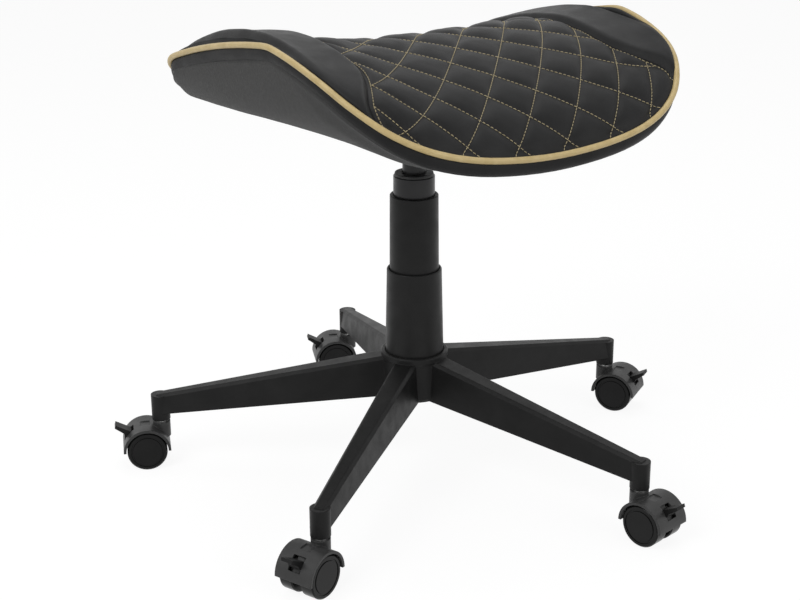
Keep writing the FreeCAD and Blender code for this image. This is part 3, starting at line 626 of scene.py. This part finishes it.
class Paint:
    """A material with helpers for its nodes."""

    def __init__(self, name, colour, roughness, metallic=0.0, specular=0.5):
        self.material = bpy.data.materials.new(name)
        self.material.use_nodes = True
        self.tree = self.material.node_tree
        self.shader = self.tree.nodes["Principled BSDF"]
        self.shader.inputs["Base Color"].default_value = (*colour, 1)
        self.shader.inputs["Roughness"].default_value = roughness
        self.shader.inputs["Metallic"].default_value = metallic
        self.shader.inputs["Specular IOR Level"].default_value = specular
        self.coordinates = self.tree.nodes.new("ShaderNodeTexCoord").outputs["Object"]
        self.edges = None

    def link(self, out, into):
        """Joins two sockets."""
        self.tree.links.new(out, into)

    def noise(self, scale, detail=3.0, roughness=0.55):
        """A cloudy pattern."""
        node = self.tree.nodes.new("ShaderNodeTexNoise")
        node.inputs["Scale"].default_value = scale
        node.inputs["Detail"].default_value = detail
        node.inputs["Roughness"].default_value = roughness
        self.link(self.coordinates, node.inputs["Vector"])
        return node.outputs["Fac"]

    def cells(self, scale, feature="DISTANCE_TO_EDGE"):
        """A pattern of small cells."""
        node = self.tree.nodes.new("ShaderNodeTexVoronoi")
        node.feature = feature
        node.inputs["Scale"].default_value = scale
        self.link(self.coordinates, node.inputs["Vector"])
        return node.outputs["Distance"]

    def waves(self, scale, direction, distortion=0.0):
        """Even bands."""
        node = self.tree.nodes.new("ShaderNodeTexWave")
        node.bands_direction = direction
        node.inputs["Scale"].default_value = scale
        node.inputs["Distortion"].default_value = distortion
        self.link(self.coordinates, node.inputs["Vector"])
        return node.outputs["Fac"]

    def spread(self, value, low, high, start=0.0, end=1.0):
        """Maps a pattern from start..end to low..high."""
        node = self.tree.nodes.new("ShaderNodeMapRange")
        node.inputs["From Min"].default_value = start
        node.inputs["From Max"].default_value = end
        node.inputs["To Min"].default_value = low
        node.inputs["To Max"].default_value = high
        self.link(value, node.inputs["Value"])
        return node.outputs["Result"]

    def mottle(self, scale):
        """Soft patches that run from 0 to 1."""
        return self.spread(self.noise(scale), 0, 1, NOISE_LOW, NOISE_HIGH)

    def tint(self, value, dark, light):
        """Colour between a dark and a light shade."""
        node = self.tree.nodes.new("ShaderNodeMix")
        node.data_type = "RGBA"
        self.link(value, node.inputs["Factor"])
        node.inputs[MIX_A].default_value = (*dark, 1)
        node.inputs[MIX_B].default_value = (*light, 1)
        self.link(node.outputs[MIX_RESULT], self.shader.inputs["Base Color"])

    def gloss(self, value, low, high):
        """Roughness between two values."""
        self.link(self.spread(value, low, high, NOISE_LOW, NOISE_HIGH), self.shader.inputs["Roughness"])

    def round_edges(self, radius):
        """Moulded edges catch the light as if they had this radius."""
        node = self.tree.nodes.new("ShaderNodeBevel")
        node.samples = EDGE_SAMPLES
        node.inputs["Radius"].default_value = radius
        self.edges = node.outputs["Normal"]

    def bumps(self, *layers):
        """Surface relief from (pattern, strength, height in metres) layers."""
        normal = self.edges
        for pattern, strength, height in layers:
            node = self.tree.nodes.new("ShaderNodeBump")
            node.inputs["Strength"].default_value = strength
            node.inputs["Distance"].default_value = height
            self.link(pattern, node.inputs["Height"])
            if normal:
                self.link(normal, node.inputs["Normal"])
            normal = node.outputs["Normal"]
        self.link(normal, self.shader.inputs["Normal"])


def leather_black():
    """Black artificial leather with pores, creases and patches of gloss."""
    paint = Paint("leather_black", (0.016, 0.016, 0.016), 0.46, specular=0.13)
    pores = paint.spread(paint.cells(620), 0.0, 1.0, 0.0, 0.22)
    creases = paint.noise(160, 5)
    paint.tint(paint.mottle(28), (0.012, 0.012, 0.0122), (0.018, 0.018, 0.0183))
    paint.gloss(paint.noise(45), 0.42, 0.52)
    paint.bumps((pores, 0.22, 0.0003), (creases, 0.12, 0.0004))
    return paint.material


def piping_gold():
    """Gold artificial leather for the piping."""
    paint = Paint("piping_gold", (0.58, 0.44, 0.20), 0.36, specular=0.4)
    paint.tint(paint.mottle(90), (0.52, 0.39, 0.17), (0.63, 0.49, 0.24))
    paint.gloss(paint.noise(140), 0.32, 0.45)
    pores = paint.spread(paint.cells(900), 0.0, 1.0, 0.0, 0.25)
    paint.bumps((pores, 0.15, 0.0002), (paint.noise(220, 4), 0.15, 0.0003))
    return paint.material


def thread_gold():
    """Twisted gold sewing thread."""
    paint = Paint("thread_gold", (0.44, 0.36, 0.21), 0.6, specular=0.3)
    paint.tint(paint.mottle(700), (0.38, 0.31, 0.17), (0.50, 0.42, 0.25))
    paint.bumps((paint.waves(900, "DIAGONAL"), 0.5, 0.0002))
    paint.shader.inputs["Sheen Weight"].default_value = 0.2
    return paint.material


def underside_grey():
    """Dark grey fabric below the seat."""
    paint = Paint("underside_grey", (0.04, 0.04, 0.04), 0.8, specular=0.25)
    fibres = paint.noise(900, 6, 0.7)
    patches = paint.spread(fibres, 0, 1, NOISE_LOW, NOISE_HIGH)
    paint.tint(patches, (0.027, 0.027, 0.027), (0.053, 0.053, 0.052))
    paint.gloss(paint.noise(300), 0.7, 0.9)
    paint.bumps((paint.cells(480, "F1"), 0.35, 0.0005), (fibres, 0.5, 0.0004))
    paint.shader.inputs["Sheen Weight"].default_value = 0.15
    return paint.material


def moulded_black(name, shade, roughness, specular, grain):
    """Moulded plastic: fine spark texture, soft flow marks and slightly uneven gloss."""
    paint = Paint(name, (shade, shade, shade), roughness, specular=specular)
    paint.round_edges(EDGE_RADIUS)
    paint.tint(paint.mottle(35), (shade * 0.8,) * 3, (shade * 1.25,) * 3)
    paint.gloss(paint.noise(60), roughness - 0.05, roughness + 0.07)
    paint.bumps((paint.noise(1400, 2), grain, 0.0002), (paint.noise(45), 0.05, 0.0006))
    return paint.material


def steel_black():
    """Black lacquered steel."""
    paint = Paint("steel_black", (0.014, 0.014, 0.015), 0.32, specular=0.3)
    paint.tint(paint.mottle(30), (0.011, 0.011, 0.012), (0.018, 0.018, 0.019))
    paint.gloss(paint.noise(80), 0.27, 0.4)
    paint.bumps((paint.noise(420, 3), 0.12, 0.0003))
    return paint.material


def metal(name, colour, roughness, scratch):
    """Bare steel with fine turning marks and uneven polish."""
    paint = Paint(name, colour, roughness, metallic=1.0)
    paint.tint(paint.mottle(70), tuple(c * 0.85 for c in colour), colour)
    paint.gloss(paint.noise(120), roughness - 0.05, roughness + 0.1)
    paint.bumps((paint.waves(900, "Z", 1.5), scratch, 0.0001), (paint.noise(800), scratch, 0.0001))
    return paint.material


def plywood():
    """Pressed wood layers."""
    paint = Paint("plywood", (0.45, 0.30, 0.17), 0.6)
    layers = paint.waves(220, "Z", 0.6)
    paint.tint(layers, (0.33, 0.21, 0.11), (0.55, 0.39, 0.23))
    paint.bumps((paint.noise(240, 6), 0.3, 0.0005))
    return paint.material


def wheel_gloss():
    """Shiny black wheels."""
    paint = Paint("wheel_gloss", (0.007, 0.007, 0.007), 0.2, specular=0.16)
    paint.tint(paint.mottle(40), (0.005, 0.005, 0.005), (0.009, 0.009, 0.009))
    paint.gloss(paint.noise(90), 0.16, 0.27)
    paint.bumps((paint.noise(120, 3), 0.04, 0.0003))
    return paint.material


MATERIALS = {
    "leather_black": leather_black(),
    "piping_gold": piping_gold(),
    "thread_gold": thread_gold(),
    "underside_grey": underside_grey(),
    "nylon_black": moulded_black("nylon_black", 0.010, 0.44, 0.17, 0.25),
    "cover_black": moulded_black("cover_black", 0.010, 0.42, 0.18, 0.15),
    "hood_satin": moulded_black("hood_satin", 0.03, 0.42, 0.35, 0.2),
    "bush_plastic": moulded_black("bush_plastic", 0.03, 0.5, 0.4, 0.1),
    "steel_black": steel_black(),
    "steel_bright": metal("steel_bright", (0.78, 0.78, 0.77), 0.16, 0.08),
    "steel_plain": metal("steel_plain", (0.55, 0.55, 0.54), 0.32, 0.2),
    "plywood": plywood(),
    "wheel_gloss": wheel_gloss(),
}


def set_material(obj, name):
    """Gives a whole object one material."""
    obj.data.materials.clear()
    obj.data.materials.append(MATERIALS[name])


def finish_nodes():
    """Every carried-over solid gets its slot's finish, the caster hoods a satin one instead, and smooth
    shading.
    """
    for entry in frame["record"]["subparts"]:
        obj = NODES[entry["node"]]
        is_hood = entry["node"].startswith("caster_hood")
        set_material(obj, "hood_satin" if is_hood else entry["material_slot"])
        obj.data.polygons.foreach_set("use_smooth", [True] * len(obj.data.polygons))


def add_piece(obj, material, node=None):
    """Gives one piece of the seat its material, hangs it on the seat body and hides the node that it
    stands for.
    """
    set_material(obj, material)
    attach(obj, "seat")
    if node:
        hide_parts(node)
    return obj


def dress_seat():
    """All the pieces of the seat."""
    loop = edge_loop()
    add_piece(quilt_cushion(), "leather_black", "seat_quilt")
    add_piece(wing_pad("wing_pad_left", -1), "leather_black", "wing_left")
    add_piece(wing_pad("wing_pad_right", 1), "leather_black", "wing_right")
    add_piece(seat_welt(loop), "piping_gold", "seat_piping")
    add_piece(side_band(loop), "leather_black", "seat_band")
    add_piece(bottom_cover(), "underside_grey", "seat_underside")
    add_piece(inner_board(), "plywood", "seat_board")
    add_piece(quilt_stitches(), "thread_gold")
    add_piece(seam_stitches(), "thread_gold")


# The stage: camera, floor, backdrop and soft studio light.
CAMERA_PLACE = (-1.0006, -1.4947, 0.8743)
CAMERA_TURN = -33.8
CAMERA_YAW = -0.56
CAMERA_PITCH = 20.02
CAMERA_ROLL = -0.3
CAMERA_LENS = 70.28
CAMERA_SENSOR = 36.0
CAMERA_FAR = 50


def add_camera():
    """The camera stands where the photograph was taken from."""
    yaw, pitch, roll = (math.radians(a) for a in (CAMERA_YAW, CAMERA_PITCH, CAMERA_ROLL))
    ahead = Vector((math.sin(yaw) * math.cos(pitch), math.cos(yaw) * math.cos(pitch), -math.sin(pitch)))
    right = Vector((math.cos(yaw), -math.sin(yaw), 0))
    up = right.cross(ahead)
    tilted = right * math.cos(roll) + up * math.sin(roll)
    upright = up * math.cos(roll) - right * math.sin(roll)
    turn = Matrix.Rotation(math.radians(CAMERA_TURN), 3, "Z")
    columns = [turn @ axis for axis in (tilted, upright, -ahead)]
    data = bpy.data.cameras.new("camera")
    data.sensor_width = CAMERA_SENSOR
    data.lens = CAMERA_LENS
    data.clip_end = CAMERA_FAR
    camera = bpy.data.objects.new("camera", data)
    camera.matrix_world = Matrix.Translation(CAMERA_PLACE) @ Matrix(columns).transposed().to_4x4()
    bpy.context.scene.collection.objects.link(camera)
    bpy.context.scene.camera = camera


def seen_directly(tree):
    """1 where a ray comes from the camera, a mirror or glass, else 0."""
    rays = tree.nodes.new("ShaderNodeLightPath")
    first = tree.nodes.new("ShaderNodeMath")
    first.operation = "MAXIMUM"
    tree.links.new(rays.outputs["Is Camera Ray"], first.inputs[0])
    tree.links.new(rays.outputs["Is Glossy Ray"], first.inputs[1])
    second = tree.nodes.new("ShaderNodeMath")
    second.operation = "MAXIMUM"
    tree.links.new(first.outputs[0], second.inputs[0])
    tree.links.new(rays.outputs["Is Transmission Ray"], second.inputs[1])
    return second.outputs[0]


WORLD_LIGHT = 0.3
FLOOR_HALF = 8.0
FLOOR_SHADE = 0.9
FLOOR_GLOW = 1.1
GLOW_SHARE = 0.82
# Soft lights, all aimed at the middle of the stool: place and size in metres, and watts.
LIGHT_AIM = (0, 0, 0.35)
LIGHTS = (
    ("key", (-2.2, -0.6, 2.2), (1.6, 1.6), 32),
    ("fill", (0.9, -2.4, 1.4), (1.8, 1.4), 16),
    ("top", (0.2, 0.5, 2.8), (1.6, 1.6), 14),
)


def add_world():
    """A white backdrop that lights the stool only softly."""
    world = bpy.data.worlds.new("studio")
    world.use_nodes = True
    tree = world.node_tree
    tree.nodes.clear()
    soft = tree.nodes.new("ShaderNodeBackground")
    soft.inputs["Color"].default_value = (1, 1, 1, 1)
    soft.inputs["Strength"].default_value = WORLD_LIGHT
    white = tree.nodes.new("ShaderNodeBackground")
    white.inputs["Color"].default_value = (1, 1, 1, 1)
    white.inputs["Strength"].default_value = 1.0
    mix = tree.nodes.new("ShaderNodeMixShader")
    tree.links.new(seen_directly(tree), mix.inputs[0])
    tree.links.new(soft.outputs[0], mix.inputs[1])
    tree.links.new(white.outputs[0], mix.inputs[2])
    out = tree.nodes.new("ShaderNodeOutputWorld")
    tree.links.new(mix.outputs[0], out.inputs["Surface"])
    bpy.context.scene.world = world


def add_floor():
    """A pale floor that reads as white but keeps the stool's shadow."""
    half = FLOOR_HALF
    corners = [(-half, -half, 0), (half, -half, 0), (half, half, 0), (-half, half, 0)]
    floor = mesh_object("floor", [Vector(c) / MM for c in corners], [(0, 1, 2, 3)], smooth=False)
    material = bpy.data.materials.new("floor_white")
    material.use_nodes = True
    tree = material.node_tree
    tree.nodes.clear()
    matte = tree.nodes.new("ShaderNodeBsdfDiffuse")
    matte.inputs["Color"].default_value = (FLOOR_SHADE, FLOOR_SHADE, FLOOR_SHADE, 1)
    glow = tree.nodes.new("ShaderNodeEmission")
    glow.inputs["Strength"].default_value = FLOOR_GLOW
    share = tree.nodes.new("ShaderNodeMath")
    share.operation = "MULTIPLY"
    share.inputs[1].default_value = GLOW_SHARE
    tree.links.new(seen_directly(tree), share.inputs[0])
    mix = tree.nodes.new("ShaderNodeMixShader")
    tree.links.new(share.outputs[0], mix.inputs[0])
    tree.links.new(matte.outputs[0], mix.inputs[1])
    tree.links.new(glow.outputs[0], mix.inputs[2])
    out = tree.nodes.new("ShaderNodeOutputMaterial")
    tree.links.new(mix.outputs[0], out.inputs["Surface"])
    floor.data.materials.append(material)


def add_light(name, place, size, watts):
    """One soft light."""
    data = bpy.data.lights.new(name, "AREA")
    data.shape = "RECTANGLE"
    data.size, data.size_y = size
    data.energy = watts
    lamp = bpy.data.objects.new(name, data)
    lamp.location = place
    lamp.rotation_euler = (Vector(LIGHT_AIM) - Vector(place)).to_track_quat("-Z", "Y").to_euler()
    bpy.context.scene.collection.objects.link(lamp)


def add_stage():
    """Everything round the stool."""
    add_camera()
    add_world()
    add_floor()
    for light in LIGHTS:
        add_light(*light)
    bpy.context.scene.view_settings.view_transform = "Standard"


finish_nodes()
dress_seat()
add_stage()
